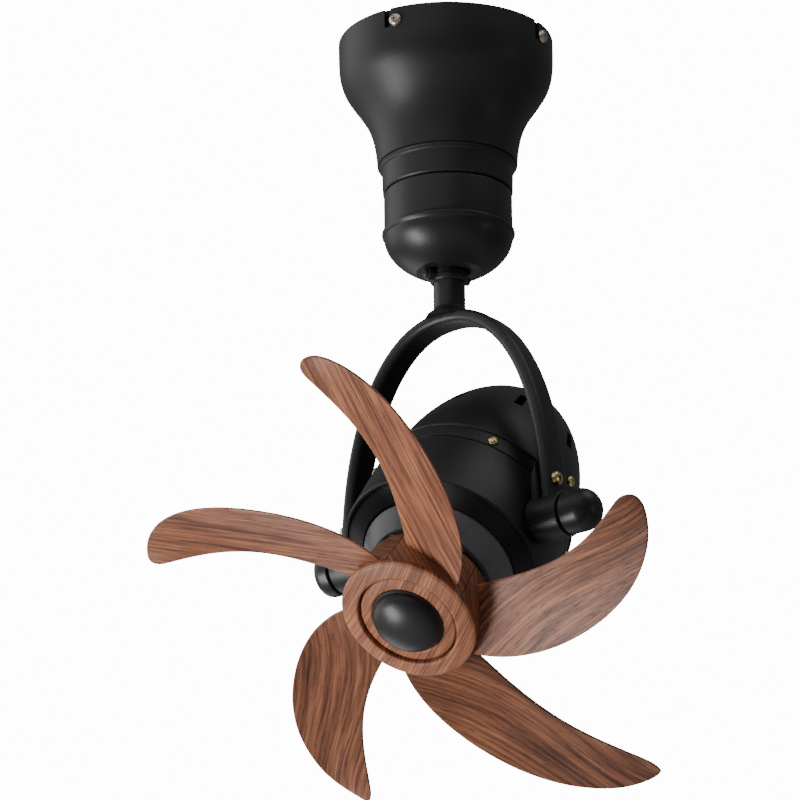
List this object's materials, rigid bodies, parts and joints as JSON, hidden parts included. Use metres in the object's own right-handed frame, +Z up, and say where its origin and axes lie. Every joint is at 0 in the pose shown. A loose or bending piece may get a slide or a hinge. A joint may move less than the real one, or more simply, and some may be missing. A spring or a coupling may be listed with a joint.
{
  "type": "ceiling fan",
  "caption": "Ceiling fan with a bell canopy, a turning neck and stem, an arched yoke, and a tilting motor head that carries swept wooden blades.",
  "frame": {"origin": "centre of the ceiling plate's top face, on the axis about which the fan turns, in the plane of the ceiling", "axes": "+Z up into the ceiling; +X along the tilt pivots towards the clamp knob; -Y the way the head faces"},
  "size_m": [0.3793, 0.3059, 0.5295],
  "materials": {
    "black_coat": "satin powder coat",
    "black_plastic": "satin",
    "walnut": "satin lacquer",
    "brass": "worn",
    "steel": "brushed",
    "zinc": "plated sheet",
    "lamination": "stamped",
    "copper": "enamelled wire",
    "board": "solder mask",
    "nylon": "moulded"
  },
  "bodies": {
    "ceiling_mount": {"ceiling_plate": "black_coat", "support_posts": "zinc", "swivel_base": "zinc", "terminal_block": "nylon", "receiver_box": "black_plastic", "canopy_bell": "black_coat", "bell_screws": "brass", "neck_ring": "black_coat", "swivel_motor": "zinc", "slip_ring_body": "black_plastic", "neck_bearing_outer": "steel"},
    "pinion": {"swivel_pinion": "nylon"},
    "swivel": {"neck_bearing_inner": "steel", "ring_gear": "nylon", "swivel_spindle": "steel", "spindle_nut": "steel", "slip_ring_rotor": "nylon", "swivel_carrier": "zinc", "swivel_band": "black_coat", "swivel_bowl": "black_coat", "stem": "black_coat", "stem_bolts": "steel", "stem_collar": "black_coat", "collar_screw": "black_coat", "yoke_arch": "black_coat", "pivot_block_right": "black_coat", "pivot_block_left": "black_coat", "leg_screws": "brass"},
    "head": {"rear_dome": "black_coat", "seam_ring": "black_coat", "seam_screws": "brass", "front_shell": "black_coat", "front_plate": "black_plastic", "trunnion_frame": "zinc", "trunnion_screws": "brass", "pivot_stud_right": "steel", "pivot_stud_left": "steel", "pivot_washers": "black_plastic", "end_cap_left": "black_coat", "motor_tube": "steel", "motor_bearing_outer": "steel", "stator_core": "lamination", "stator_windings": "copper", "driver_board": "board", "board_posts": "nylon"},
    "knob": {"tilt_knob": "black_coat"},
    "rotor": {"rotor_shaft": "steel", "motor_bearing_inner": "steel", "rotor_bell": "zinc", "rotor_magnets": "lamination", "hub_cone": "black_coat", "hub_core": "black_plastic", "blade_screws": "steel", "blade_1": "walnut", "blade_2": "walnut", "blade_3": "walnut", "blade_4": "walnut", "blade_5": "walnut", "hub_ring": "walnut", "center_cap": "black_plastic"}
  },
  "joints": [
    {"name": "neck_turn", "type": "hinge", "parent": "ceiling_mount", "child": "swivel", "pos_m": [0, 0, -0.108], "axis": [0, 0, 1], "continuous": true},
    {"name": "pinion_turn", "type": "hinge", "parent": "ceiling_mount", "child": "pinion", "pos_m": [0.00923, 0.02537, -0.108], "axis": [0, 0, 1], "continuous": true},
    {"name": "head_tilt", "type": "hinge", "parent": "swivel", "child": "head", "pos_m": [0, 0, -0.368], "axis": [1, 0, 0], "range_deg": [-52.8, 37.2]},
    {"name": "rotor_spin", "type": "hinge", "parent": "head", "child": "rotor", "pos_m": [0, 0, -0.368], "axis": [0, -0.6046, -0.7965], "continuous": true},
    {"name": "knob_turn", "type": "hinge", "parent": "head", "child": "knob", "pos_m": [0.11, 0, -0.368], "axis": [1, 0, 0], "range_deg": [0, 360]}
  ],
  "couplings": [
    {"joint": "pinion_turn", "follows": "neck_turn", "ratio": 4}
  ]
}
